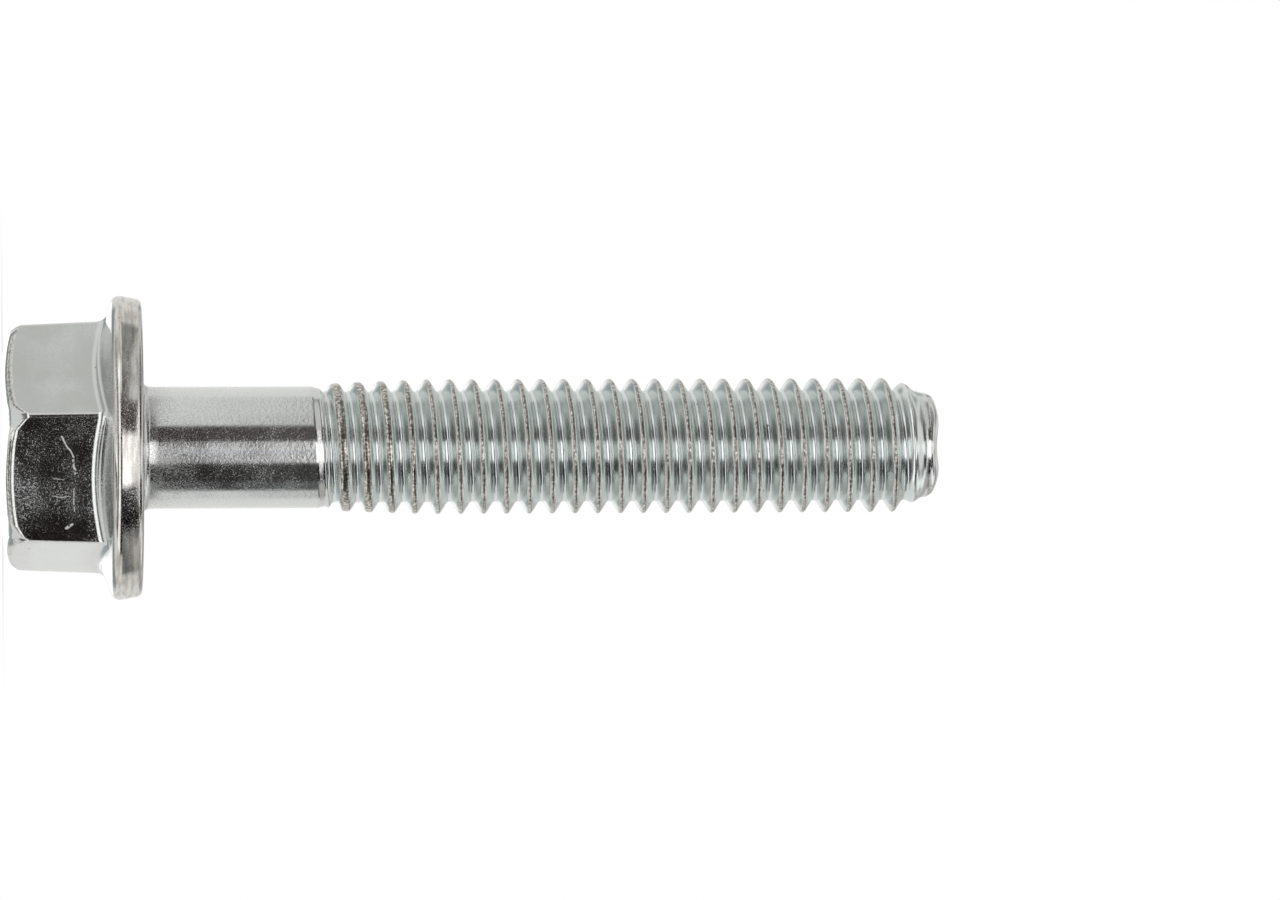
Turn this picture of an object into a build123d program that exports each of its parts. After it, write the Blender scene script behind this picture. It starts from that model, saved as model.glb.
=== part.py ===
"""Hexagon flange screw, M6 x 35, partly threaded, bright zinc plated.

Sizes are in millimetres. The screw stands on its head: z = 0 is the end face of the head, the axis is the
Z axis, the bearing face of the flange looks up at z = head_height and the thread runs up to the tip.
Two flats of the hexagon face +Y and -Y.
"""
import os
from math import atan, cos, degrees, radians, tan

from build123d import (
    Axis,
    BuildLine,
    BuildPart,
    BuildSketch,
    Helix,
    Line,
    Mode,
    Plane,
    Polyline,
    RegularPolygon,
    ThreePointArc,
    add,
    chamfer,
    export_step,
    extrude,
    fillet,
    make_face,
    revolve,
    sweep,
)

# Overall lengths along the axis
head_height = 6.0
length_under_head = 35.0
shank_length = 7.6
total_length = head_height + length_under_head

# Hexagon, with the slight draft that the forging die leaves on its flats
across_flats = 9.92
hexagon_draft = 2.2
hexagon_corner_radius = 0.3

# Crowned end of the head, which falls away from the middle and rounds down into the corners
crown_inner_radius = 4.1
crown_slope = 17.5
crown_shoulder_radius = 4.95
crown_bend_radius = 5.33
crown_bend_drop = 0.53
crown_side_radius = 5.6
crown_side_drop = 0.98
crown_side_flare = 0.3

# Shallow round dish in the head's end face
dish_mouth_radius = 4.1
dish_floor_radius = 3.7
dish_depth = 0.4

# Flange, forged in one with the hexagon: a cone on the head side and a rim that leans in to the bearing face.
# The diameter and height are those of the sharp edge between cone and rim, before it is broken.
flange_edge_diameter = 13.32
flange_edge_height = 1.2
flange_rim_lean = 11.0
flange_cone_angle = 22.0
flange_edge_break = 0.3
flange_foot_break = 0.2
underhead_radius = 0.4

# Shank, left at the diameter of the wire that the thread is rolled from
shank_diameter = 5.29

# Rolled thread, M6 x 1, right-handed, with the crests of the first turns not quite full. The groove fades in
# from the shank over the turn before first_root_offset and is at full depth from thread_start_angle on.
pitch = 1.0
thread_diameter = 5.88
root_diameter = 4.77
first_crest_diameter = 5.6
full_crest_turns = 4.0
root_flat = 0.24
thread_flank_angle = 30.0
thread_start_angle = 180.0
first_root_offset = 0.318
fade_in_rise = 0.52

# Tip, drawn in by the rolling, with a broken rim and a small hollow in its end
tip_cone_length = 2.2
tip_core_drop = 0.94
tip_core_diameter = 4.48
tip_nose_length = 0.45
tip_rim_break = 0.3
tip_hollow_radius = 1.5
tip_hollow_depth = 0.12

# How far the shapes that cut reach beyond the surface that they cut
cut_overreach = 0.5
groove_overreach = 0.05


def corner(sketch, radius, height):
    """The corner of a turned outline that lies nearest to a radius and a height."""
    return sketch.vertices().sort_by_distance((radius, height))[0]


shank_radius = shank_diameter / 2
crest_radius = thread_diameter / 2
root_radius = root_diameter / 2
flange_edge_radius = flange_edge_diameter / 2
shank_end = head_height + shank_length

# Hexagon, drawn where it meets the flange and drawn in toward the end of the head
hexagon_base = head_height - flange_edge_height
with BuildPart() as hexagon:
    with BuildSketch(Plane.XY.offset(hexagon_base)):
        RegularPolygon(radius=across_flats / 2, side_count=6, major_radius=False)
    extrude(amount=-hexagon_base, taper=hexagon_draft)
    fillet(hexagon.edges().filter_by(lambda e: abs(e.tangent_at(0.5).Z) > 0.9), radius=hexagon_corner_radius)

# Crowned envelope, the common volume of which with the hexagon gives the scalloped edge of the head
crown_shoulder_drop = (crown_shoulder_radius - crown_inner_radius) * tan(radians(crown_slope))
with BuildPart() as crown:
    with BuildSketch(Plane.XZ):
        with BuildLine():
            Line((0, 0), (crown_inner_radius, 0))
            Line((crown_inner_radius, 0), (crown_shoulder_radius, crown_shoulder_drop))
            ThreePointArc(
                (crown_shoulder_radius, crown_shoulder_drop),
                (crown_bend_radius, crown_bend_drop),
                (crown_side_radius, crown_side_drop),
            )
            Line((crown_side_radius, crown_side_drop), (crown_side_radius + crown_side_flare, head_height))
            Line((crown_side_radius + crown_side_flare, head_height), (0, head_height))
            Line((0, head_height), (0, 0))
        make_face()
    revolve(axis=Axis.Z)
with BuildPart() as head:
    add(hexagon.part)
    add(crown.part, mode=Mode.INTERSECT)

# Thread groove: a trapezoid carried along the helix, one turn to each edge of the path, after one turn in
# which it comes in from outside the shank
groove_turns = int((length_under_head - shank_length) / pitch) + 1
thread_start = shank_end + first_root_offset
groove_depth = crest_radius + groove_overreach - root_radius
groove_root_half = root_flat / 2
groove_top_half = groove_root_half + groove_depth * tan(radians(thread_flank_angle))
fade_angle = degrees(atan(fade_in_rise / pitch))
fade_radius = root_radius + fade_in_rise
fade_start = thread_start - pitch
with BuildPart() as groove:
    with BuildLine() as groove_path:
        Helix(
            pitch=pitch / cos(radians(fade_angle)),
            height=pitch,
            radius=fade_radius,
            center=(0, 0, fade_start),
            cone_angle=-fade_angle,
        )
        for turn in range(groove_turns):
            Helix(pitch=pitch, height=pitch, radius=root_radius, center=(0, 0, thread_start + turn * pitch))
    with BuildSketch(Plane.XZ):
        with BuildLine():
            Polyline(
                (fade_radius, fade_start - groove_root_half),
                (fade_radius + groove_depth, fade_start - groove_top_half),
                (fade_radius + groove_depth, fade_start + groove_top_half),
                (fade_radius, fade_start + groove_root_half),
                close=True,
            )
        make_face()
    sweep(path=groove_path.wires()[0], is_frenet=True)

# Turned profile of everything round: flange, underhead fillet, shank, thread envelope and tip
rim_lean_in = flange_edge_height * tan(radians(flange_rim_lean))
rim_foot_radius = flange_edge_radius - rim_lean_in
rim_top = head_height - flange_edge_height
cone_inner = rim_top - (flange_edge_radius - shank_radius) * tan(radians(flange_cone_angle))
shoulder_end = thread_start + pitch / 2
full_crest_start = shoulder_end + full_crest_turns * pitch
cone_start = total_length - tip_cone_length
cone_end = total_length - tip_core_drop
nose_start = total_length - tip_nose_length
core_radius = tip_core_diameter / 2
with BuildPart() as flange_screw:
    with BuildSketch(Plane.XZ) as outline:
        with BuildLine():
            Polyline(
                (0, cone_inner),
                (shank_radius, cone_inner),
                (flange_edge_radius, rim_top),
                (rim_foot_radius, head_height),
                (shank_radius, head_height),
                (shank_radius, shank_end),
                (first_crest_diameter / 2, shoulder_end),
                (crest_radius, full_crest_start),
                (crest_radius, cone_start),
                (root_radius, cone_end),
                (core_radius, nose_start),
                (core_radius, total_length),
                (0, total_length),
                close=True,
            )
        make_face()
        chamfer(corner(outline, flange_edge_radius, rim_top), length=flange_edge_break)
        chamfer(corner(outline, rim_foot_radius, head_height), length=flange_foot_break)
        fillet(corner(outline, shank_radius, head_height), radius=underhead_radius)
        chamfer(corner(outline, core_radius, total_length), length=tip_rim_break)
    revolve(axis=Axis.Z)
    add(head.part)

    # Dish in the end face of the head
    with BuildSketch(Plane.XZ):
        with BuildLine():
            Polyline(
                (0, -cut_overreach),
                (dish_mouth_radius, -cut_overreach),
                (dish_mouth_radius, 0),
                (dish_floor_radius, dish_depth),
                (0, dish_depth),
                close=True,
            )
        make_face()
    revolve(axis=Axis.Z, mode=Mode.SUBTRACT)

    # Hollow in the end of the tip
    with BuildSketch(Plane.XZ):
        with BuildLine():
            Polyline(
                (0, total_length - tip_hollow_depth),
                (tip_hollow_radius, total_length),
                (tip_hollow_radius, total_length + cut_overreach),
                (0, total_length + cut_overreach),
                close=True,
            )
        make_face()
    revolve(axis=Axis.Z, mode=Mode.SUBTRACT)

    # Thread
    add(groove.part, rotation=(0, 0, thread_start_angle), mode=Mode.SUBTRACT)

screw = flange_screw.part
screw.label = "flange_screw"
print("valid", screw.is_valid, "solids", len(screw.solids()), "volume in mm3", round(screw.volume, 1))
os.makedirs("parts", exist_ok=True)
export_step(screw, "parts/flange_screw.step")
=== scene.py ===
# %% [markdown]
# # A hexagon flange screw in bright zinc
#
# The object is one piece of steel: a wire is upset into a head with a hexagon, a flange and a shallow dish,
# a thread is rolled on its far end, and the whole screw is zinc plated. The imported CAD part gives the
# frame, with the screw standing on its head. This lesson builds one closed mesh in the same place, with the
# rounded edges, the real thread section and the plating that a CAD solid leaves out.

# %% Load the frame
import math

import bmesh
import bpy
from mathutils import Matrix, Vector


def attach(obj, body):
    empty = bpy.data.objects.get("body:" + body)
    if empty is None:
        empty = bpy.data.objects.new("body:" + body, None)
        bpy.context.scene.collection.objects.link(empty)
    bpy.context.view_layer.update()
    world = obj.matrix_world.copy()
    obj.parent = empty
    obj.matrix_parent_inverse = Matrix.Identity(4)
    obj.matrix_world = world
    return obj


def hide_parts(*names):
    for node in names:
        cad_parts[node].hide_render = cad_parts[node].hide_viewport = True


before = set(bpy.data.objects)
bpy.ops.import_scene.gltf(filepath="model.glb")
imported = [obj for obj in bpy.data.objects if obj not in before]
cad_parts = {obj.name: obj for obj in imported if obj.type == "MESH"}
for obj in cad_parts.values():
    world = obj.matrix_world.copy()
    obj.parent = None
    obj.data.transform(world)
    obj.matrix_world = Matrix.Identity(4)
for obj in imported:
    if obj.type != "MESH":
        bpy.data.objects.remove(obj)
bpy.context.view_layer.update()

# %% [markdown]
# ## Sizes
#
# All sizes are in millimetres, and one factor turns them to metres at the moment a point is placed. Heights
# are measured from the end of the head, on which the screw stands.

# %% Driving sizes
MM = 0.001
COLUMNS = 96  # points round the axis; a multiple of 12, so that each corner and each flat has its own column
WELD = 0.002  # points nearer than this become one

TOTAL_LENGTH = 41.0
HEAD_HEIGHT = 6.0
SHANK_RADIUS = 2.645
print("sizes in mm:", TOTAL_LENGTH, "long, with a head of", HEAD_HEIGHT)

# %% [markdown]
# ## Small helpers
#
# Blender's operators work on what is selected and active, so each step starts with nothing selected. A turned
# outline is a chain of points in a plane through the axis. Where two of its straight runs meet, the real part
# has a small radius, and one function gives the points of that arc.

# %% Helpers for objects and outlines
def deselect_all():
    if bpy.context.object and bpy.context.object.mode != "OBJECT":
        bpy.ops.object.mode_set(mode="OBJECT")
    bpy.ops.object.select_all(action="DESELECT")


def work_on(piece):
    """Makes one object the active and the only selected one."""
    deselect_all()
    piece.select_set(True)
    bpy.context.view_layer.objects.active = piece


def apply_modifier(piece, kind, **settings):
    work_on(piece)
    modifier = piece.modifiers.new(kind.title(), kind)
    for name, value in settings.items():
        setattr(modifier, name, value)
    bpy.ops.object.modifier_apply(modifier=modifier.name)


def at(angle, radius, height):
    """The point at an angle in degrees, a radius and a height in millimetres."""
    turn = math.radians(angle)
    return Vector((radius * math.cos(turn), radius * math.sin(turn), height)) * MM


def even_angle(column):
    return column * 360 / COLUMNS


def mix(a, b, share):
    return a + (b - a) * share


def round_corner(before, corner, after, radius, steps):
    """Points of the arc that touches both runs of a corner, from the first run to the second."""
    before, corner, after = Vector(before), Vector(corner), Vector(after)
    back = (before - corner).normalized()
    ahead = (after - corner).normalized()
    half = back.angle(ahead) / 2
    reach = min(radius / math.tan(half), (before - corner).length, (after - corner).length)
    radius = reach * math.tan(half)
    centre = corner + (back + ahead).normalized() * (radius / math.sin(half))
    first = corner + back * reach - centre
    last = corner + ahead * reach - centre
    sweep = first.angle(last)
    points = []
    for step in range(steps + 1):
        share = step / steps
        weight = (math.sin((1 - share) * sweep), math.sin(share * sweep))
        points.append(centre + (first * weight[0] + last * weight[1]) / math.sin(sweep))
    return points


print("helpers ready")

# %% [markdown]
# ## The rolled thread
#
# The thread is pressed into the blank by two flat dies. They leave a 60 degree groove with a narrow rounded
# root, and the steel that they push aside flows up to a narrow crest. It could be cut from a cylinder by a
# boolean, but a helical cut leaves ragged triangles. Here a vertex is extruded along one pitch instead, and
# the Screw modifier carries that line round and up, one pitch to a turn, so that every edge of the mesh
# follows the helix as the marks of the dies do.

# %% The thread as a function of place
THREAD_FOOT = 13.0
THREAD_TOP = 40.3
PITCH = 1.0
CREST_RADIUS = 2.965
ROOT_RADIUS = 2.41
ROOT_HALF_FLAT = 0.09
FLANK_ANGLE = 30.0
CREST_EASE = 0.05  # rounds the crest itself
CREST_ROUND = 0.1  # rounds it where the outline holds it
ROOT_ROUND = 0.04
FIRST_ROOT = 13.918  # height of the first root at START_ANGLE
START_ANGLE = 180.0

# The outline that the crests reach, by height. The first ones are low, as the dies fill them last.
SHANK_END = 13.6
FIRST_CREST = (14.42, 2.79)
FULL_CREST = (18.42, CREST_RADIUS)
OUTLINE = (
    (0.0, SHANK_RADIUS), (SHANK_END, SHANK_RADIUS), FIRST_CREST, FULL_CREST, (TOTAL_LENGTH, CREST_RADIUS),
)

SHOULDER = 13.92  # where the edge of the dies stopped, on average
SHOULDER_SLANT = 0.16  # it is lower by this much at SHOULDER_TURN, and higher on the far side
SHOULDER_TURN = 164.5
SHOULDER_WIDTH = 0.3
ROLL_OFF = 0.075  # the shank's end slopes in by this much before the shoulder
ROLL_START = 0.42  # the slope begins this far before it
ROLL_RUN = 0.3  # and takes this length

RUNOUT_START = 38.83  # from here the ridges sink into the core
RUNOUT_END = 40.06
NOSE_RADIUS = 2.29
NOSE_START = 39.6


def soft_least(a, b, reach):
    """The lesser of two values, eased where they cross."""
    return 0.5 * (a + b - math.sqrt((a - b) ** 2 + reach ** 2))


def ramp(value, start, end):
    """0 before start, 1 past end, eased between."""
    share = min(1, max(0, (value - start) / (end - start)))
    return share * share * (3 - 2 * share)


def outline_radius(height):
    """The radius that a crest may reach at a height."""
    for (low, start), (high, end) in zip(OUTLINE, OUTLINE[1:]):
        if height <= high:
            return mix(start, end, (height - low) / (high - low))
    return OUTLINE[-1][1]


def groove_radius(angle, height):
    """The groove from root to crest, before the outline holds the crest down."""
    place = (height - FIRST_ROOT) / PITCH - (angle - START_ANGLE) / 360
    off_crest = 0.5 - abs(place - round(place))
    off_root = 0.5 - math.sqrt(off_crest ** 2 + CREST_EASE ** 2)
    flank = ROOT_RADIUS + (off_root - ROOT_HALF_FLAT) * PITCH / math.tan(math.radians(FLANK_ANGLE))
    return -soft_least(-flank, -ROOT_RADIUS, ROOT_ROUND)


def thread_radius(angle, height):
    """The pressed thread between the shoulder, where the dies began, and the tip, where it runs out."""
    pressed = soft_least(groove_radius(angle, height), outline_radius(height), CREST_ROUND)
    kept = min(1, max(0, (RUNOUT_END - height) / (RUNOUT_END - RUNOUT_START)))
    core = mix(ROOT_RADIUS, NOSE_RADIUS, ramp(height, NOSE_START, THREAD_TOP))
    pressed = core + (pressed - ROOT_RADIUS) * kept
    shoulder = SHOULDER - SHOULDER_SLANT * math.cos(math.radians(angle - SHOULDER_TURN))
    edge = SHANK_RADIUS - ROLL_OFF * min(1, max(0, (height - shoulder + ROLL_START) / ROLL_RUN))
    share = min(1, max(0, (height - shoulder) / SHOULDER_WIDTH + 0.5))
    return mix(edge, pressed, share)


sample = FIRST_ROOT + 6.75 * PITCH  # height of a root on the side at 90 degrees
print("crest", round(thread_radius(90, sample - PITCH / 2), 3), "root", round(thread_radius(90, sample), 3))

# %% A line along one pitch
# Shares of the pitch from a root to a crest, at which the line has a point.
HALF_PITCH = (0, 0.05, 0.09, 0.12, 0.15, 0.19, 0.23, 0.27, 0.31, 0.35, 0.39, 0.42, 0.45, 0.475, 0.5)
PITCH_POINTS = HALF_PITCH + tuple(1 - t for t in reversed(HALF_PITCH[:-1]))
LINE_FOOT = FIRST_ROOT - START_ANGLE / 360 * PITCH - 2 * PITCH
TURNS = math.ceil((THREAD_TOP - LINE_FOOT) / PITCH) + 1

deselect_all()
bpy.ops.mesh.primitive_plane_add(size=MM, location=(0, 0, 0))
thread = bpy.context.object
thread.name = "thread"
bpy.ops.object.mode_set(mode="EDIT")
bpy.ops.mesh.merge(type="CENTER")
bpy.ops.transform.translate(value=at(0, ROOT_RADIUS, LINE_FOOT))
for previous, point in zip(PITCH_POINTS, PITCH_POINTS[1:]):
    rise = (point - previous) * PITCH * MM
    bpy.ops.mesh.extrude_region_move(TRANSFORM_OT_translate={"value": (0, 0, rise)})
bpy.ops.object.mode_set(mode="OBJECT")
print("line of", len(thread.data.vertices), "points for", TURNS, "turns")

# %% Carry the line round and up, then press the groove
apply_modifier(
    thread, "SCREW", axis="Z", angle=2 * math.pi, screw_offset=PITCH * MM, iterations=TURNS,
    steps=COLUMNS, render_steps=COLUMNS, use_merge_vertices=False,
)
SNAP = 0.02  # a point this near an end of the thread moves to it
for vertex in thread.data.vertices:
    column = round(math.degrees(math.atan2(vertex.co.y, vertex.co.x)) / 360 * COLUMNS) % COLUMNS
    height = vertex.co.z / MM
    if height < THREAD_FOOT + SNAP:
        height = THREAD_FOOT
    if height > THREAD_TOP - SNAP:
        height = THREAD_TOP
    vertex.co = at(even_angle(column), thread_radius(even_angle(column), height), height)
work_on(thread)
bpy.ops.object.mode_set(mode="EDIT")
bpy.ops.mesh.select_all(action="SELECT")
bpy.ops.mesh.remove_doubles(threshold=WELD * MM)
bpy.ops.object.mode_set(mode="OBJECT")
print("thread surface of", len(thread.data.polygons), "faces")

# %% [markdown]
# ## The forged head
#
# The head is upset from the wire in a die, so no edge of it is sharp. The hexagon grows out of the flange
# over a fillet, its walls lean in by a few degrees so that the die lets go, and the end has a shallow dish
# within a low crown. The crown cuts the flat walls in a scalloped line. It could be built as a prism and a
# turned shape with booleans and a bevel, but a bevel fails where the crown meets the corners at a low angle.
# Here one ring is extruded from the shank to the dish, and each new ring is put in place by a rule for its
# part of the surface, so that the mesh stays in even rings of quads.

# %% Rings
SECTOR = COLUMNS // 6  # columns to one face of the hexagon
# Painted dark reflection: the rounded corners of the hexagon are painted darker, partly as rubbed plating and
# partly as the dark reflection their rounds show.
CORNER_WEAR_AND_REFLECTION = 0.8


def even_place(radius, height):
    """A rule for a turned ring."""
    return lambda column: (even_angle(column), radius, height)


def put_ring(piece, place, edge_wear_and_reflection):
    """Puts each selected point where the rule says for its column, with its share of edge wear and painted
    dark reflection.
    """
    form = bmesh.from_edit_mesh(piece.data)
    mark = form.verts.layers.int["column"]
    rubbed = form.verts.layers.float["edge_wear_and_reflection"]
    for point in form.verts:
        if point.select:
            point.co = at(*place(point[mark]))
            point[rubbed] = edge_wear_and_reflection if point[mark] % SECTOR else max(edge_wear_and_reflection, CORNER_WEAR_AND_REFLECTION * (edge_wear_and_reflection > 0))
    bmesh.update_edit_mesh(piece.data)


def ring_piece(name, rings):
    """A circle extruded ring by ring, and closed at its middle. Each ring has a rule and a share of edge wear
    and painted dark reflection.
    """
    deselect_all()
    bpy.ops.mesh.primitive_circle_add(vertices=COLUMNS, radius=SHANK_RADIUS * MM)
    piece = bpy.context.object
    piece.name = name
    marks = piece.data.attributes.new("column", "INT", "POINT")
    for column, mark in enumerate(marks.data):
        mark.value = column
    piece.data.attributes.new("edge_wear_and_reflection", "FLOAT", "POINT")
    bpy.ops.object.mode_set(mode="EDIT")
    bpy.ops.mesh.select_all(action="SELECT")
    put_ring(piece, *rings[0])
    for ring in rings[1:]:
        bpy.ops.mesh.extrude_region_move()
        put_ring(piece, *ring)
    bpy.ops.mesh.extrude_region_move()
    bpy.ops.mesh.merge(type="CENTER")
    bpy.ops.object.mode_set(mode="OBJECT")
    piece.data.attributes.remove(piece.data.attributes["column"])
    print(name, "has", len(piece.data.polygons), "faces")
    return piece


print("ring tools ready")

# %% Under the head and the flange
UNDERHEAD_ROUND = 0.4
RIM_EDGE = (6.655, 4.8)  # radius and height of the edge between cone and rim, before its round
RIM_LEAN = 11.0
RIM_TOP_ROUND = 0.42
RIM_FOOT_ROUND = 0.25
CONE_ANGLE = 22.0
UNDERHEAD_STEPS = 7  # steps of each round
RIM_TOP_STEPS = 7
RIM_FOOT_STEPS = 5
SHANK_RINGS = (11.0, 9.0, 7.3, 6.7)  # heights of the rings on the shank
BEARING_RINGS = (4.0, 5.0)  # radii of those on the bearing face
CONE_MIDDLE = 5.0  # radius of a place between the rim and the hexagon


def cone_height(radius, angle=0):
    """Height of the flange's cone, which is the same at every angle."""
    return RIM_EDGE[1] - (RIM_EDGE[0] - radius) * math.tan(math.radians(CONE_ANGLE))


rim_foot = (RIM_EDGE[0] - (HEAD_HEIGHT - RIM_EDGE[1]) * math.tan(math.radians(RIM_LEAN)), HEAD_HEIGHT)
bearing_start = (SHANK_RADIUS + 2 * UNDERHEAD_ROUND, HEAD_HEIGHT)
shank_foot = (SHANK_RADIUS, HEAD_HEIGHT + 2 * UNDERHEAD_ROUND)
flange_outline = [Vector((SHANK_RADIUS, height)) for height in SHANK_RINGS]
underhead = (SHANK_RADIUS, HEAD_HEIGHT)
flange_outline += round_corner(shank_foot, underhead, bearing_start, UNDERHEAD_ROUND, UNDERHEAD_STEPS)
flange_outline += [Vector((radius, HEAD_HEIGHT)) for radius in BEARING_RINGS]
flange_outline += round_corner(bearing_start, rim_foot, RIM_EDGE, RIM_FOOT_ROUND, RIM_FOOT_STEPS)
cone_point = (CONE_MIDDLE, cone_height(CONE_MIDDLE))
flange_outline += round_corner(rim_foot, RIM_EDGE, cone_point, RIM_TOP_ROUND, RIM_TOP_STEPS)
print("flange outline of", len(flange_outline), "rings, widest", round(max(p.x for p in flange_outline), 3))

# %% The hexagon
ACROSS_FLATS = 9.92
HEXAGON_DRAFT = 2.2
HEXAGON_CORNER = 0.3
HEXAGON_ROOT = 0.55  # round between a wall and the flange
CORNER_TO_FLAT = (0, 0.52, 1.04, 1.56, 6, 12, 18, 24, 30)  # angles of columns from a corner to mid-face


def hexagon_angle(column):
    """Angles of the columns on the hexagon, close together at its rounded corners."""
    sector, place = divmod(column, SECTOR)
    if place < len(CORNER_TO_FLAT):
        return 60 * sector + CORNER_TO_FLAT[place]
    return 60 * sector + (60 - CORNER_TO_FLAT[SECTOR - place])


def wall_radius(angle, height):
    """Radius of a wall, which leans in towards the end of the head and is rounded at the corner."""
    flat = ACROSS_FLATS / 2 - (RIM_EDGE[1] - height) * math.tan(math.radians(HEXAGON_DRAFT))
    from_corner = math.radians(abs((angle + 30) % 60 - 30))
    inner = flat - HEXAGON_CORNER
    from_normal = math.pi / 6 - from_corner
    if math.tan(from_normal) <= inner * math.tan(math.pi / 6) / flat:
        return flat / math.cos(from_normal)
    reach = inner / math.cos(math.pi / 6)
    aside = reach * math.sin(from_corner)
    return reach * math.cos(from_corner) + math.sqrt(HEXAGON_CORNER ** 2 - aside ** 2)


print("across corners", round(2 * wall_radius(0, RIM_EDGE[1]), 2))

# %% The crown and the dish
LIP_RADIUS = 4.1
LIP_ROUND = 0.15
LIP_LOW = -0.02  # the round lifts the lip by this much, so that it ends on the floor
CROWN_START = LIP_RADIUS + 0.2
CROWN_SLOPE = 17.5
CROWN_BEND = 4.95  # from here the crown rounds down towards the corners
CROWN_RADIUS = 0.9
CROWN_EDGE = 0.42
CROWN_SHIFT = 0.1  # the die that formed the crown sat this much off the hexagon
CROWN_TURN = 255.0
DISH_FLOOR = 3.7
DISH_DEPTH = 0.4
DISH_ROUND = 0.22
WALL_MIDDLE = 2.5  # height of a place on the walls between their two rounds
ROOT_STEPS = 6  # steps of the round at a wall's root, and of those at the crown's edge, the lip and the dish
CROWN_STEPS = 5
LIP_STEPS = 5
DISH_STEPS = 4
ROOT_REACH = 0.5  # how far past a wall the run of the cone or the crown is followed
CROWN_REACH = 0.3
HALVINGS = 40


def crown_height(radius, angle):
    """Height of the crown, a cone that bends down at the corners and sits a little off the axis."""
    shift = CROWN_SHIFT * math.cos(math.radians(angle - CROWN_TURN))
    radius += shift * ramp(radius, CROWN_START, CROWN_BEND)
    slope = math.radians(CROWN_SLOPE)
    if radius < CROWN_BEND:
        return LIP_LOW + (radius - LIP_RADIUS) * math.tan(slope)
    centre = CROWN_BEND - CROWN_RADIUS * math.sin(slope)
    level = LIP_LOW + (CROWN_BEND - LIP_RADIUS) * math.tan(slope) + CROWN_RADIUS * math.cos(slope)
    return level - math.sqrt(max(0, CROWN_RADIUS ** 2 - (radius - centre) ** 2))


def meeting(angle, height_at):
    """Where a wall meets a turned surface, found by halving the height between two bounds."""
    low, high = 0.0, HEAD_HEIGHT
    for _ in range(HALVINGS):
        height = (low + high) / 2
        if height < height_at(wall_radius(angle, height), angle):
            low = height
        else:
            high = height
    return wall_radius(angle, height), height


def root_arc(angle):
    corner = meeting(angle, cone_height)
    outside = (corner[0] + ROOT_REACH, cone_height(corner[0] + ROOT_REACH))
    wall = (wall_radius(angle, WALL_MIDDLE), WALL_MIDDLE)
    return round_corner(outside, corner, wall, HEXAGON_ROOT, ROOT_STEPS)


def crown_arc(angle):
    corner = meeting(angle, crown_height)
    inside = (corner[0] - CROWN_REACH, crown_height(corner[0] - CROWN_REACH, angle))
    wall = (wall_radius(angle, WALL_MIDDLE), WALL_MIDDLE)
    return round_corner(wall, corner, inside, CROWN_EDGE, CROWN_STEPS)


root_arcs = [root_arc(hexagon_angle(column)) for column in range(COLUMNS)]
crown_arcs = [crown_arc(hexagon_angle(column)) for column in range(COLUMNS)]
lip_corner, floor_corner = (LIP_RADIUS, LIP_LOW), (DISH_FLOOR, DISH_DEPTH)
lip_start = (CROWN_START, crown_height(CROWN_START, 0))
lip = round_corner(lip_start, lip_corner, floor_corner, LIP_ROUND, LIP_STEPS)
dish = round_corner(lip_corner, floor_corner, (0, DISH_DEPTH), DISH_ROUND, DISH_STEPS)
print("lip at", round(min(p.y for p in lip), 4))
print("scallop from", round(crown_arcs[SECTOR // 2][0].y, 2), "to", round(crown_arcs[0][0].y, 2))

# %% Extrude the head ring by ring
QUARTERS = (0.25, 0.5, 0.75)
FIFTHS = (0.2, 0.4, 0.6, 0.8)
DISH_RINGS = (2.4, 1.0)
# How far the edges are painted darker, from 0 to 1: on the walls, on the lip, and ring by ring at the crown's
# edge.
# On the lip this is rubbed plating. At the hexagon's corners and the crown's edge it is partly rubbed plating
# and partly a painted dark reflection in their rounds.
WALL_WEAR_AND_REFLECTION = 0.01
LIP_WEAR = 0.4
ARC_WEAR_AND_REFLECTION = (0.0, 0.25, 1.0, 1.0, 0.5, 0.0)


def along_cone(share):
    """A rule for a ring on the flange's cone, a share of the way from its rim to the hexagon."""
    def place(column):
        radius = mix(flange_outline[-1].x, root_arcs[column][0].x, share)
        return mix(even_angle(column), hexagon_angle(column), share), radius, cone_height(radius)
    return place


def on_arc(arcs, step):
    return lambda column: (hexagon_angle(column), arcs[column][step].x, arcs[column][step].y)


def along_wall(share):
    """A rule for a ring on the hexagon's walls, a share of the way from root to crown."""
    def place(column):
        height = mix(root_arcs[column][-1].y, crown_arcs[column][0].y, share)
        return hexagon_angle(column), wall_radius(hexagon_angle(column), height), height
    return place


def along_crown(share):
    """A rule for a ring on the crown, a share of the way from the walls to the lip."""
    def place(column):
        radius = mix(crown_arcs[column][-1].x, lip[0].x, share)
        angle = mix(hexagon_angle(column), even_angle(column), share)
        return angle, radius, crown_height(radius, angle)
    return place


def thread_ring(height):
    return lambda column: (even_angle(column), thread_radius(even_angle(column), height), height)


head_rings = [(thread_ring(THREAD_FOOT), 0)]
head_rings += [(even_place(p.x, p.y), 0) for p in flange_outline]
head_rings += [(along_cone(share), 0) for share in QUARTERS]
head_rings += [(on_arc(root_arcs, step), 0) for step in range(ROOT_STEPS + 1)]
head_rings += [(along_wall(share), WALL_WEAR_AND_REFLECTION) for share in QUARTERS]
head_rings += [(on_arc(crown_arcs, step), edge_wear_and_reflection) for step, edge_wear_and_reflection in enumerate(ARC_WEAR_AND_REFLECTION)]
head_rings += [(along_crown(share), 0) for share in FIFTHS]
head_rings += [(even_place(p.x, p.y), LIP_WEAR) for p in lip]
head_rings += [(even_place(p.x, p.y), 0) for p in dish]
head_rings += [(even_place(radius, DISH_DEPTH), 0) for radius in DISH_RINGS]
head = ring_piece("head", head_rings)

# %% [markdown]
# ## The tip
#
# The end of the wire was cut before rolling. The dies draw its skin forward, which leaves a rounded, slightly
# uneven rim round a shallow hollow. It is extruded ring by ring from the last turn of the thread.

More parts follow.
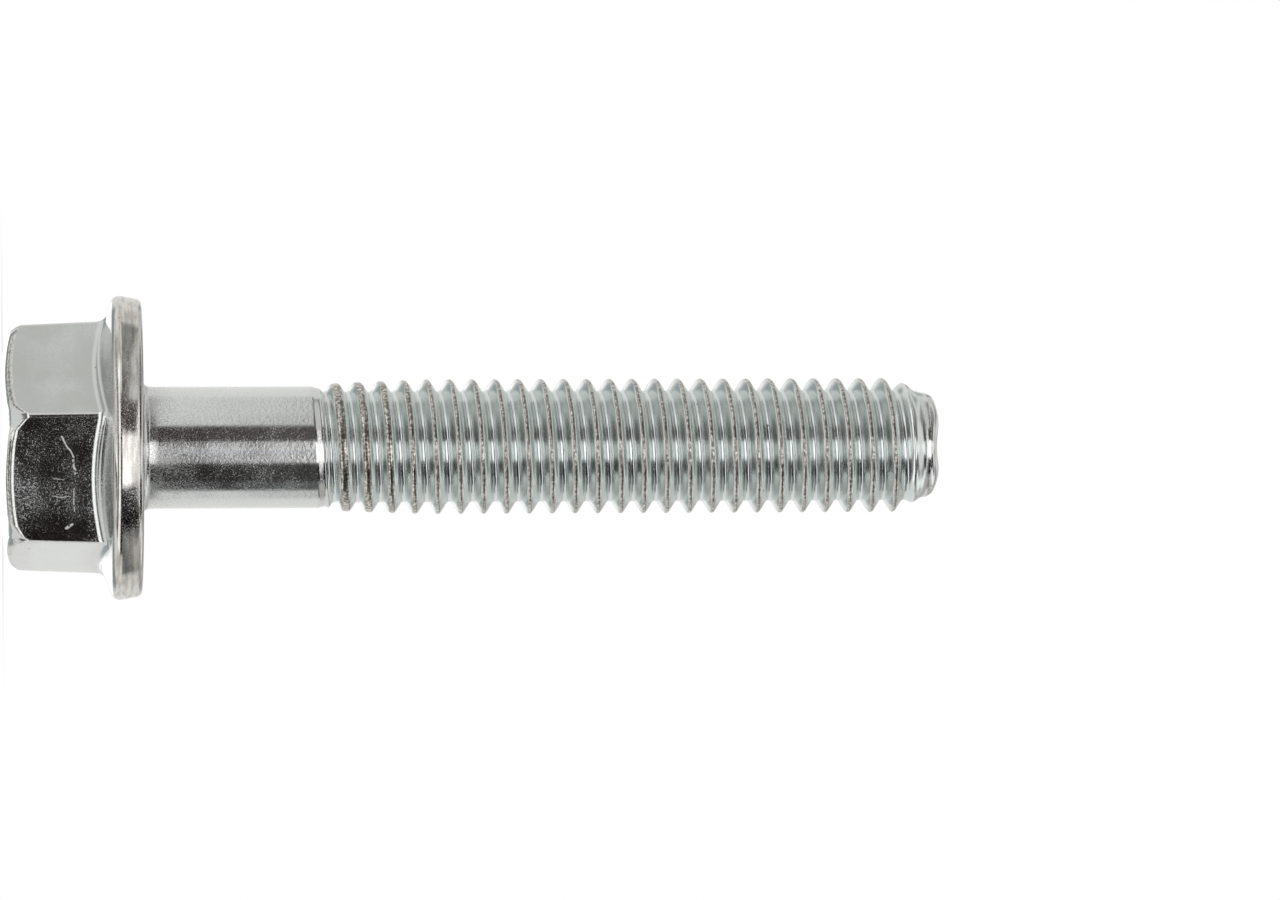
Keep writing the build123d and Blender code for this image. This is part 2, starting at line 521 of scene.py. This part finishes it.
# %% The tip
TIP_EDGE = (2.03, TOTAL_LENGTH)
TIP_INSIDE = (1.0, TOTAL_LENGTH)
TIP_ROUND = 0.62
TIP_STEPS = 8
HOLLOW_RADIUS = 1.6
HOLLOW_DEPTH = 0.12
HOLLOW_RINGS = (1.5, 1.25, 1.0, 0.6, 0.25)
RIM_WAVE = 0.38  # the rim is this much lower on its low side
WAVE_TURN = math.radians(256)  # where that side is
WAVES = ((1, 0.36), (5, 0.08), (3, 0.06))  # how many go round the rim, and how large they are


def tip_place(radius, height):
    """A rule for a ring near the end, lowered as the rim is uneven, and the more so the nearer it is."""
    share = ramp(height, THREAD_TOP, TOTAL_LENGTH)

    def place(column):
        turn = math.radians(even_angle(column)) - WAVE_TURN
        wave = sum(size * math.cos(number * turn) for number, size in WAVES)
        sag = RIM_WAVE * (0.5 + wave * min(1, radius / HOLLOW_RADIUS) ** 2)
        return even_angle(column), radius, height - share * sag
    return place


rim = round_corner((NOSE_RADIUS, THREAD_TOP), TIP_EDGE, TIP_INSIDE, TIP_ROUND, TIP_STEPS)
hollow = [(r, TOTAL_LENGTH - HOLLOW_DEPTH * (1 - (r / HOLLOW_RADIUS) ** 2)) for r in HOLLOW_RINGS]
tip_rings = [(thread_ring(THREAD_TOP), 0)]
tip_rings += [(tip_place(p[0], p[1]), 0) for p in list(rim) + hollow]
tip = ring_piece("tip", tip_rings)

# %% [markdown]
# ## One closed piece
#
# The three surfaces share their end rings, so joining them and merging the doubled points gives one closed
# skin. It is counted here, because an open edge would leave a hole in it.

# %% Join the surfaces
SHARP_ANGLE = 40  # edges that bend more than this stay sharp

deselect_all()
for piece in (thread, head, tip):
    piece.select_set(True)
bpy.context.view_layer.objects.active = head
bpy.ops.object.join()
screw = bpy.context.object
screw.name = "zinc_screw"
screw.data.name = "zinc_screw"
work_on(screw)
bpy.ops.object.mode_set(mode="EDIT")
bpy.ops.mesh.select_all(action="SELECT")
bpy.ops.mesh.remove_doubles(threshold=WELD * MM)
bpy.ops.mesh.normals_make_consistent(inside=False)
bpy.ops.object.mode_set(mode="OBJECT")
bpy.ops.object.shade_smooth_by_angle(angle=math.radians(SHARP_ANGLE))

form = bmesh.new()
form.from_mesh(screw.data)
open_edges = sum(not edge.is_manifold for edge in form.edges)
loose = sum(not point.link_faces for point in form.verts)
volume = form.calc_volume() / MM ** 3
triangles = sum(len(face.verts) - 2 for face in form.faces)
form.free()
print("open edges", open_edges, "loose points", loose, "volume", round(volume, 1), "triangles", triangles)

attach(screw, "root")
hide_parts("flange_screw")

# %% [markdown]
# ## Zinc plating
#
# The screw is barrel plated with bright zinc and passivated clear to blue. The skin is a few micrometres of
# crystals over forged steel. It mirrors the room softly, and its grains tilt the mirror a little, so dark
# places carry a white speckle while pale places stay even. Tumbling in the barrel rubs the crests and the rim
# darker and leaves a few pits and scratches, and the passivation gives the thread a cool tint. A photograph
# could be laid over it, but grain made from noise in millimetres holds from every side.

# %% Node helper and colours
def to_linear(code, power=1.0):
    """A colour written as a hex value, as Blender's nodes want it."""
    values = [int(code[place:place + 2], 16) / 255 for place in (1, 3, 5)]
    return [power * (v / 12.92 if v <= 0.04045 else ((v + 0.055) / 1.055) ** 2.4) for v in values] + [1.0]


def add_node(tree, kind, links=(), inputs=(), **settings):
    """Adds a node. links pairs its sockets with nodes or outputs, and inputs pairs them with values."""
    new = tree.nodes.new(kind)
    for name, value in settings.items():
        setattr(new, name, value)
    for socket, value in dict(inputs).items():
        new.inputs[socket].default_value = value
    for socket, source in dict(links).items():
        tree.links.new(source.outputs[0] if hasattr(source, "outputs") else source, new.inputs[socket])
    return new


def grains_of(size):
    """Scale of a noise whose grains are this many millimetres across."""
    return 1 / (size * MM)


ZINC = "#D5D6D4"
print("zinc", [round(v, 3) for v in to_linear(ZINC)[:3]])

# %% Where the plating lies
THREAD_IN = (13.9, 14.3)  # heights between which the look of the thread fades in
THREAD_OUT = (39.9, 40.3)  # and out again
FIRST_CREST_FOOT = 2.705  # radius from which the first crest is rubbed, and the full ones
FULL_CREST_FOOT = 2.893
CREST_FADE = 0.043  # the rubbing sets in over this much of the radius
RIM_IN = (6.25, 6.5)  # radii between which the look of the rim fades in

plating = bpy.data.materials.new("bright_zinc_plating")
plating.use_nodes = True
tree = plating.node_tree
tree.nodes.clear()
place = add_node(tree, "ShaderNodeTexCoord").outputs["Object"]
flat_place = add_node(tree, "ShaderNodeVectorMath", {0: place}, {1: (1, 1, 0)}, operation="MULTIPLY")
radius = add_node(tree, "ShaderNodeVectorMath", {0: flat_place}, operation="LENGTH").outputs["Value"]
height = add_node(tree, "ShaderNodeSeparateXYZ", {0: place}).outputs["Z"]
in_thread = add_node(tree, "ShaderNodeMapRange", {0: height}, {1: THREAD_IN[0] * MM, 2: THREAD_IN[1] * MM})
thread_end = {1: THREAD_OUT[0] * MM, 2: THREAD_OUT[1] * MM, 3: 1, 4: 0}
out_thread = add_node(tree, "ShaderNodeMapRange", {0: height}, thread_end)
thread_zone = add_node(tree, "ShaderNodeMath", {0: in_thread, 1: out_thread}, operation="MULTIPLY")
foot_line = {
    1: FIRST_CREST[0] * MM, 2: FULL_CREST[0] * MM, 3: FIRST_CREST_FOOT * MM, 4: FULL_CREST_FOOT * MM,
}
crest_foot = add_node(tree, "ShaderNodeMapRange", {0: height}, foot_line)
over_foot = add_node(tree, "ShaderNodeMath", {0: radius, 1: crest_foot}, operation="SUBTRACT")
near_crest = add_node(
    tree, "ShaderNodeMapRange", {0: over_foot}, {1: 0.0, 2: CREST_FADE * MM}, interpolation_type="SMOOTHSTEP",
)
crest_zone = add_node(tree, "ShaderNodeMath", {0: near_crest, 1: thread_zone}, operation="MULTIPLY")
rim_zone = add_node(tree, "ShaderNodeMapRange", {0: radius}, {1: RIM_IN[0] * MM, 2: RIM_IN[1] * MM})
# The share of edge wear and painted dark reflection, stored on the head's rings.
edges = add_node(tree, "ShaderNodeAttribute", attribute_name="edge_wear_and_reflection").outputs["Fac"]
print("zones from", len(tree.nodes), "nodes")

# %% Grain, specks, streaks and pits
# Frosty specks scatter light where the metal round them mirrors something dark. Streaks run round the rim.
STREAK_STRETCH = (0.15, 0.15, 1)
CLOUD = (6.5, 8.6)  # heights behind the flange, over which a cloud of specks thins out
CLOUD_GAIN = 0.16
BEHIND_FLANGE = 6.1
PATCH_SHARE = 0.45  # how much the patches have a say in where the specks lie
SPECKS_FROM, SPECKS_FULL = 0.75, 1.06
SPECKS_OFF_THREAD, SPECKS_ON_THREAD = 0.66, 0.15
PIT_SPACING = 0.7
PIT_FREE = 0.6  # the share of the cells without a pit
PIT_SIZE = 0.09  # of the largest, as a share of the spacing
PIT_EDGE = 0.04

round_place = add_node(tree, "ShaderNodeVectorMath", {0: place}, {1: STREAK_STRETCH}, operation="MULTIPLY")
# Each noise has the size of its grains in millimetres, its detail and the place that it is laid on.
NOISES = {
    "grain": (0.13, 2.5, place),
    "fine grain": (0.055, 2.0, place),
    "patches": (1.6, 3.0, place),
    "streaks": (0.16, 3.0, round_place),
    "rolled lines": (0.07, 2.0, round_place),
}
noises = {}
for name, (size, detail, laid_on) in NOISES.items():
    sizes = {"Scale": grains_of(size), "Detail": detail}
    noises[name] = add_node(tree, "ShaderNodeTexNoise", {"Vector": laid_on}, sizes, label=name).outputs["Fac"]
grain, patches = noises["grain"], noises["patches"]
thinning = {1: CLOUD[0] * MM, 2: CLOUD[1] * MM, 3: CLOUD_GAIN, 4: 0.0}
near_flange = add_node(tree, "ShaderNodeMapRange", {0: height}, thinning)
behind = {1: BEHIND_FLANGE * MM}
behind_flange = add_node(tree, "ShaderNodeMath", {0: height}, behind, operation="GREATER_THAN")
cloud_links = {0: near_flange, 1: behind_flange, 2: noises["fine grain"]}
cloud = add_node(tree, "ShaderNodeMath", cloud_links, operation="MULTIPLY_ADD")
level_links = {0: patches, 2: cloud}
specks_level = add_node(tree, "ShaderNodeMath", level_links, {1: PATCH_SHARE}, operation="MULTIPLY_ADD")
speckled = add_node(tree, "ShaderNodeMapRange", {0: specks_level}, {1: SPECKS_FROM, 2: SPECKS_FULL})
by_zone = {3: SPECKS_OFF_THREAD, 4: SPECKS_ON_THREAD}
off_thread = add_node(tree, "ShaderNodeMapRange", {0: thread_zone}, by_zone)
specks = add_node(tree, "ShaderNodeMath", {0: speckled, 1: off_thread}, operation="MULTIPLY")
cells = {"Scale": grains_of(PIT_SPACING), "Randomness": 1.0}
pit_cells = add_node(tree, "ShaderNodeTexVoronoi", {"Vector": place}, cells)
pit_chance = add_node(tree, "ShaderNodeSeparateColor", {0: pit_cells.outputs["Color"]})
pit_size = add_node(tree, "ShaderNodeMapRange", {0: pit_chance}, {1: PIT_FREE, 2: 1.0, 3: 0.0, 4: PIT_SIZE})
pit_links = {0: pit_size, 1: pit_cells.outputs["Distance"]}
pit_depth = add_node(tree, "ShaderNodeMath", pit_links, operation="SUBTRACT")
pits = add_node(tree, "ShaderNodeMapRange", {0: pit_depth}, {1: 0.0, 2: PIT_EDGE})
print("marks from", len(tree.nodes), "nodes")

# %% Scratches on the hexagon face that looks at the camera
SCRATCH_FACE = -4.87  # y of that face
# Each scratch runs from one x and height to another, with a width, all in millimetres.
SCRATCHES = (
    (-1.84, 2.55, -0.95, 3.0, 0.035), (-0.95, 3.0, -0.25, 3.08, 0.045), (0.45, 3.05, 1.45, 3.07, 0.03),
    (2.02, 2.95, 2.2, 2.7, 0.06), (0.79, 0.9, 0.83, 3.9, 0.016), (-0.1, 1.3, 0.06, 2.6, 0.014),
)
SCRATCH_BEND = 0.2  # how far they stray from a straight line
SCRATCH_WAVE = 0.5  # length of their bends
MIDDLE_OF_NOISE = (0.5, 0.5, 0.5)
SCRATCH_CORE, SCRATCH_FADE = 0.6, 1.3  # shares of the width: full up to the first, gone at the second

waves = {"Scale": grains_of(SCRATCH_WAVE), "Detail": 2.0}
wobble = add_node(tree, "ShaderNodeTexNoise", {"Vector": place}, waves).outputs["Color"]
swing = add_node(tree, "ShaderNodeVectorMath", {0: wobble}, {1: MIDDLE_OF_NOISE}, operation="SUBTRACT")
bend = {1: (SCRATCH_BEND * MM, 0, SCRATCH_BEND * MM)}
bent = add_node(tree, "ShaderNodeVectorMath", {0: swing, 2: place}, bend, operation="MULTIPLY_ADD")
scratched = None
for x, z, end_x, end_z, width in SCRATCHES:
    start = Vector((x, SCRATCH_FACE, z)) * MM
    run = Vector((end_x, SCRATCH_FACE, end_z)) * MM - start
    from_start = add_node(tree, "ShaderNodeVectorMath", {0: bent}, {1: start}, operation="SUBTRACT")
    along = add_node(tree, "ShaderNodeVectorMath", {0: from_start}, {1: run}, operation="DOT_PRODUCT")
    share = add_node(tree, "ShaderNodeMapRange", {0: along.outputs["Value"]}, {1: 0, 2: run.length_squared})
    back = add_node(tree, "ShaderNodeVectorMath", {"Scale": share}, {0: -run}, operation="SCALE")
    off = add_node(tree, "ShaderNodeVectorMath", {0: from_start, 1: back}, operation="ADD")
    gap = add_node(tree, "ShaderNodeVectorMath", {0: off}, operation="LENGTH").outputs["Value"]
    fade = {1: SCRATCH_CORE * width * MM, 2: SCRATCH_FADE * width * MM, 3: 1, 4: 0}
    line = add_node(tree, "ShaderNodeMapRange", {0: gap}, fade)
    scratched = add_node(tree, "ShaderNodeMath", {0: line, 1: scratched or line}, operation="MAXIMUM")
near_scratch = add_node(tree, "ShaderNodeMapRange", {0: grain}, {1: 0.36, 2: 0.46})
scratches = add_node(tree, "ShaderNodeMath", {0: scratched, 1: near_scratch}, operation="MULTIPLY")
frost = add_node(tree, "ShaderNodeMath", {0: specks, 1: scratches}, operation="MAXIMUM")
print(len(SCRATCHES), "scratches")

# %% Colour
# Each range of a noise is spread over 0 to 1 before it serves as a share.
even_patches = add_node(tree, "ShaderNodeMapRange", {0: patches}, {1: 0.35, 2: 0.65})
rubbed = add_node(tree, "ShaderNodeMapRange", {0: grain}, {1: 0.42, 2: 0.62})
even_streaks = add_node(tree, "ShaderNodeMapRange", {0: noises["streaks"]}, {1: 0.38, 2: 0.6})
crest_light = add_node(tree, "ShaderNodeMath", {0: crest_zone, 1: rubbed}, operation="MULTIPLY")
rim_light = add_node(tree, "ShaderNodeMath", {0: rim_zone, 1: even_streaks}, operation="MULTIPLY")
edge_share = add_node(tree, "ShaderNodeMath", {0: edges, 1: rubbed}, operation="MULTIPLY")
# Layers of colour, laid one over another, each with the share in which it covers the ones below.
LAYERS = {
    "paler patches": ("#DBDCDD", even_patches),
    "blue of the passivation in the thread": ("#DEE3E2", thread_zone),
    "crests rubbed dark": ("#8A847D", crest_zone),
    "bare grains on the crests": ("#D6D3CE", crest_light),
    "rim rubbed dark": ("#B8B3AE", rim_zone),
    "bright streaks on the rim": ("#DCDAD6", rim_light),
    # Painted dark reflection on the rounded corners and the crown's edge, laid over partly rubbed plating.
    "edges rubbed dark, with painted dark reflection": ("#A39D96", edge_share),
    "pits": ("#5A544E", pits),
    "frosty specks": ("#E9E9E7", frost),
}
zinc = add_node(tree, "ShaderNodeRGB")
zinc.outputs[0].default_value = to_linear(ZINC)
colour = zinc.outputs[0]
for name, (tint, share) in LAYERS.items():
    laid = add_node(
        tree, "ShaderNodeMix", {0: share, 6: colour}, {7: to_linear(tint)}, data_type="RGBA", label=name,
    )
    colour = laid.outputs[2]
print("colour from", len(tree.nodes), "nodes")

# %% Gloss
GRAIN_HEIGHT = 0.009
GRAIN_RELIEF = 0.22  # away from the crests; on them it is 1
LINE_HEIGHT = 0.004
LINE_RELIEF = 0.6
SHINY_ROUGHNESS = (0.09, 0.15)  # the shank and head, from their shiniest patches to their dullest
THREAD_ROUGHNESS = 0.09  # added in the thread
FROST_ROUGHNESS = 0.5
FROST_METAL = 0.3  # the frosty specks scatter more light than they mirror

relief = add_node(tree, "ShaderNodeMapRange", {0: crest_zone}, {3: GRAIN_RELIEF, 4: 1.0})
grain_links = {"Height": grain, "Strength": relief}
bump = add_node(tree, "ShaderNodeBump", grain_links, {"Distance": GRAIN_HEIGHT * MM})
rolled_relief = add_node(tree, "ShaderNodeMath", {0: thread_zone}, {1: LINE_RELIEF}, operation="MULTIPLY")
line_links = {"Height": noises["rolled lines"], "Strength": rolled_relief, "Normal": bump}
bump = add_node(tree, "ShaderNodeBump", line_links, {"Distance": LINE_HEIGHT * MM})
dulling = {1: 0.3, 2: 0.7, 3: SHINY_ROUGHNESS[0], 4: SHINY_ROUGHNESS[1]}
shiny = add_node(tree, "ShaderNodeMapRange", {0: patches}, dulling)
smooth_links = {0: thread_zone, 2: shiny}
smooth = add_node(tree, "ShaderNodeMath", smooth_links, {1: THREAD_ROUGHNESS}, operation="MULTIPLY_ADD")
gloss = add_node(tree, "ShaderNodeMix", {0: frost, 2: smooth}, {3: FROST_ROUGHNESS}, data_type="FLOAT")
metal = add_node(tree, "ShaderNodeMapRange", {0: frost}, {3: 1.0, 4: FROST_METAL})
shader = add_node(
    tree, "ShaderNodeBsdfPrincipled",
    {"Base Color": colour, "Roughness": gloss.outputs[0], "Metallic": metal, "Normal": bump},
)
add_node(tree, "ShaderNodeOutputMaterial", {"Surface": shader})
screw.data.materials.clear()
screw.data.materials.append(plating)
print("plating with", len(tree.nodes), "nodes")

# %% [markdown]
# ## Studio
#
# Metal shows the room that it stands in more than its own colour. The room is a white tent with lamps, grey
# sheets and dark flags on the side that the screw is seen from. It is drawn in the world shader by direction,
# so it moves neither with the camera nor the screw. The lamps and sheets could stand in the scene as objects,
# but there they would get in the way of a camera that goes round the screw.

# %% Camera
VIEW_DISTANCE = 271.1
VIEW_TURN = 254.5  # where the camera stands round the axis
VIEW_HEIGHT = 0.68
AIM_HEIGHT = 27.744
AIM_LOW = 0.177  # the camera aims this much below the axis, as the picture lies
ROLL = 0.22
PIXELS_PER_MM = 22.859
PICTURE_WIDTH = 1280  # in the pixels that PIXELS_PER_MM counts
SENSOR_WIDTH = 36
NEAR_CLIP, FAR_CLIP = 0.01, 20  # in metres

view_turn = math.radians(VIEW_TURN)
toward_camera = Vector((math.cos(view_turn), math.sin(view_turn), 0))
picture_up = Vector((toward_camera.y, -toward_camera.x, 0))
spot = (toward_camera * VIEW_DISTANCE - picture_up * AIM_LOW + Vector((0, 0, VIEW_HEIGHT))) * MM
aim = (Vector((0, 0, AIM_HEIGHT)) - picture_up * AIM_LOW) * MM
backward = (spot - aim).normalized()
up = picture_up * math.cos(math.radians(ROLL)) + Vector((0, 0, 1)) * math.sin(math.radians(ROLL))
right = up.cross(backward).normalized()
up = backward.cross(right)
bpy.ops.object.camera_add()
camera = bpy.context.object
camera.name = "camera"
camera.data.sensor_width = SENSOR_WIDTH
camera.data.lens = PIXELS_PER_MM * (spot - aim).length / MM * SENSOR_WIDTH / PICTURE_WIDTH
camera.data.clip_start = NEAR_CLIP
camera.data.clip_end = FAR_CLIP
camera.matrix_world = Matrix.Translation(spot) @ Matrix((right, up, backward)).transposed().to_4x4()
bpy.context.scene.camera = camera
print("camera at", [round(c, 4) for c in spot])

# %% Cards of the tent
# Each card has a tint and a strength. It reaches between two turns from the camera, counted upwards in the
# picture, and between two lifts towards the tip, all in degrees. The last pair says how soft its edges are,
# in turn and in lift. A later card lies over an earlier one.
TENT = "#EBEBE9"
CARDS = {
    "shade behind the tip": ("#8E8F89", 1.0, (140, 168), (15, 80), (5, 5)),
    "shade behind the tip, other side": ("#8E8F89", 1.0, (-168, -140), (15, 80), (5, 5)),
    "shade behind the head": ("#98A2A3", 1.0, (140, 166), (-75, -20), (4, 4)),
    "shade behind the head, other side": ("#98A2A3", 1.0, (-166, -140), (-75, -20), (4, 4)),
    "bright wall behind the head": ("#FFFFFF", 1.7, (169, 190), (-60, -8), (3, 3)),
    "bright wall behind the head, other side": ("#FFFFFF", 1.7, (-190, -169), (-60, -8), (3, 3)),
    "dark sheet far over the head": ("#3A3836", 1.0, (-70, -26), (-95, -62), (4, 4)),
    "lamp far over the head": ("#FFFFFF", 1.4, (-28, 10), (-95, -53), (2, 2)),
    "grey sheet over the head": ("#70726E", 1.0, (-90, 70), (-53, -37), (3, 3)),
    "pale sheet over the head": ("#B6B8B4", 1.0, (70, 120), (-56, -36), (4, 4)),
    "bright sheet on the head side": ("#FFFFFF", 1.4, (-90, 70), (-36, -15), (4, 4)),
    "grey wall over the hexagon": ("#D2D3D0", 1.0, (72, 108), (-15, -1.3), (0.8, 0.8)),
    "grey on the tip side, far above": ("#949694", 1.0, (62, 112), (1.5, 64), (4, 4)),
    "grey on the tip side, above": ("#686764", 1.0, (38, 64), (1.5, 64), (4, 4)),
    "dark on the tip side, above": ("#45413E", 1.0, (8, 40), (1.5, 64), (4, 4)),
    "dark on the tip side, below": ("#121010", 1.0, (-71, -26), (1.5, 64), (4, 4)),
    "grey on the tip side, below": ("#747979", 1.0, (-114, -70), (1.5, 64), (4, 4)),
    "grey band level with the rim, below": ("#BCBAB7", 1.0, (-182, -76), (16, 36), (3, 3)),
    "pale sheet beside the tip, below": ("#F0F1F0", 1.3, (-135, -68), (37, 52), (3, 3)),
    "lamp over the camera": ("#FFFFFF", 1.7, (-30, 11), (2.5, 27), (2, 2)),
    "dim end of the lamp": ("#8A8884", 1.0, (-28, 10), (34.5, 46), (1.5, 1.5)),
    "lamp far over the tip": ("#FFFFFF", 1.2, (-28, 10), (48, 95), (2, 2)),
    "lamp on the shoulder": ("#FFFFFF", 1.7, (-80, 38), (29, 32.5), (0.8, 0.8)),
    "pale sheet on the shoulder, above": ("#DCDCDA", 1.0, (38, 182), (20, 33), (1.2, 1.2)),
    "pale sheet on the shoulder, below": ("#DCDCDA", 1.0, (-182, -80), (29, 33), (1.2, 1.2)),
    "white wall over the shank": ("#F4F5F3", 1.0, (41, 182), (-1.3, 2.95), (4, 0.4)),
    "white wall under the shank": ("#F4F5F3", 1.0, (-182, -89), (-1.3, 2.95), (4, 0.4)),
    "dark flag on the head and shank": ("#1E1A19", 1.0, (-89, -3), (-15, 2.95), (4, 0.4)),
    "brown flag on the head and shank": ("#3C3633", 1.0, (-3, 41), (-15, 2.95), (4, 0.4)),
    "streak on the shank": ("#E4E4F4", 0.42, (-11, -5), (-1, 3.2), (2.5, 2.5)),
}
world = bpy.data.worlds.new("studio_tent")
bpy.context.scene.world = world
world.use_nodes = True
tree = world.node_tree
tree.nodes.clear()
direction = add_node(tree, "ShaderNodeTexCoord").outputs["Generated"]
shares = [
    add_node(tree, "ShaderNodeVectorMath", {0: direction}, {1: axis}, operation="DOT_PRODUCT")
    for axis in (toward_camera, picture_up, (0, 0, 1))
]
ahead, above, tipward = [share.outputs["Value"] for share in shares]
turn = add_node(tree, "ShaderNodeMath", {0: above, 1: ahead}, operation="ARCTAN2")
lift = add_node(tree, "ShaderNodeMath", {0: tipward}, operation="ARCSINE")


def window(angle, reach, soft):
    """1 where an angle lies in a reach, falling to 0 past its soft ends."""
    middle, half = math.radians(sum(reach) / 2), math.radians((reach[1] - reach[0]) / 2)
    off = add_node(tree, "ShaderNodeMath", {0: angle}, {1: middle}, operation="SUBTRACT")
    far = add_node(tree, "ShaderNodeMath", {0: off}, operation="ABSOLUTE")
    ends = {1: half - math.radians(soft), 2: half + math.radians(soft), 3: 1, 4: 0}
    return add_node(tree, "ShaderNodeMapRange", {0: far}, ends, interpolation_type="SMOOTHSTEP")


tent = add_node(tree, "ShaderNodeRGB")
tent.outputs[0].default_value = to_linear(TENT)
colour = tent.outputs[0]
for name, (tint, power, turns, lifts, soft) in CARDS.items():
    across, along = window(turn, turns, soft[0]), window(lift, lifts, soft[1])
    share = add_node(tree, "ShaderNodeMath", {0: across, 1: along}, operation="MULTIPLY")
    light = {7: to_linear(tint, power)}
    laid = add_node(tree, "ShaderNodeMix", {0: share, 6: colour}, light, data_type="RGBA", label=name)
    colour = laid.outputs[2]
print("tent of", len(CARDS), "cards")

# %% World
# The camera sees plain white behind the screw, and everything else sees the tent.
WHITE = "#FFFFFF"
white = add_node(tree, "ShaderNodeBackground", inputs={"Color": to_linear(WHITE)})
room = add_node(tree, "ShaderNodeBackground", {"Color": colour})
seen = add_node(tree, "ShaderNodeLightPath").outputs["Is Camera Ray"]
both = add_node(tree, "ShaderNodeMixShader", {0: seen, 1: room, 2: white})
add_node(tree, "ShaderNodeOutputWorld", {"Surface": both})
bpy.context.scene.view_settings.view_transform = "Standard"
print("world with", len(tree.nodes), "nodes")

# %% Floor
FLOOR_RADIUS = 2.0  # in metres, like the distances on it
FLOOR_POINTS = 96
PAPER = "#F2F2F2"
PAPER_NEAR, PAPER_FAR = 0.004, 0.012  # the paper turns to plain white for the camera between these
PAPER_GLOW = 0.4  # share of plain white right under the screw

deselect_all()
bpy.ops.mesh.primitive_circle_add(vertices=FLOOR_POINTS, radius=FLOOR_RADIUS, fill_type="NGON")
floor = bpy.context.object
floor.name = "floor"
floor.visible_glossy = False  # the metal mirrors the tent, which also stands for the lower half of the room
floor.visible_shadow = False
paper = bpy.data.materials.new("white_paper_floor")
paper.use_nodes = True
tree = paper.node_tree
tree.nodes.clear()
matt = add_node(tree, "ShaderNodeBsdfDiffuse", inputs={"Color": to_linear(PAPER)})
glow = add_node(tree, "ShaderNodeEmission", inputs={"Color": to_linear(WHITE)})
floor_place = add_node(tree, "ShaderNodeTexCoord").outputs["Object"]
distance = add_node(tree, "ShaderNodeVectorMath", {0: floor_place}, operation="LENGTH").outputs["Value"]
whitening = {1: PAPER_NEAR, 2: PAPER_FAR, 3: PAPER_GLOW}
far = add_node(tree, "ShaderNodeMapRange", {0: distance}, whitening, interpolation_type="SMOOTHSTEP")
seen = add_node(tree, "ShaderNodeLightPath").outputs["Is Camera Ray"]
share = add_node(tree, "ShaderNodeMath", {0: far, 1: seen}, operation="MULTIPLY")
surface = add_node(tree, "ShaderNodeMixShader", {0: share, 1: matt, 2: glow})
add_node(tree, "ShaderNodeOutputMaterial", {"Surface": surface})
floor.data.materials.append(paper)
print("floor of", len(floor.data.vertices), "points")
